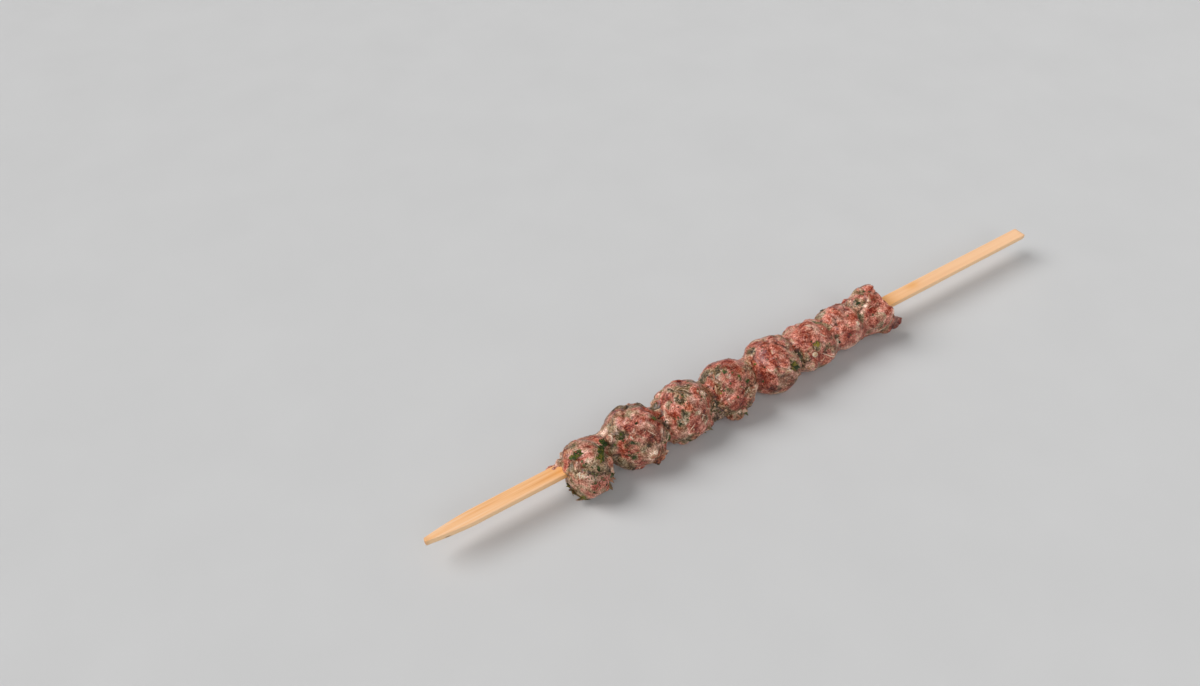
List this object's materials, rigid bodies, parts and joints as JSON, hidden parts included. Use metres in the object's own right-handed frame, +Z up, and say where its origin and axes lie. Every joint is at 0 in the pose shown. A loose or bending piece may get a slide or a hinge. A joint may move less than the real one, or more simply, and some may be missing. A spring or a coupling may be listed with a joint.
{
  "type": "raw kofta skewer",
  "caption": "Raw seasoned mince pressed by hand in a row of lumps along a flat bamboo stick, pointed at one end and cut square at the other, lying on its underside.",
  "frame": {"origin": "on the ground, under the middle of the skewer's box", "axes": "+X along the stick, from its point towards its square-cut end; +Z up; the stick's flat faces are level"},
  "size_m": [0.3, 0.0254, 0.0225],
  "materials": {
    "mince": "raw minced meat with fat, onion and herbs, soft, moist and slightly shiny",
    "bamboo": "split bamboo, straight grain, smooth and dry"
  },
  "bodies": {
    "root": {"meat": "mince", "bamboo_stick": "bamboo"}
  },
  "joints": []
}
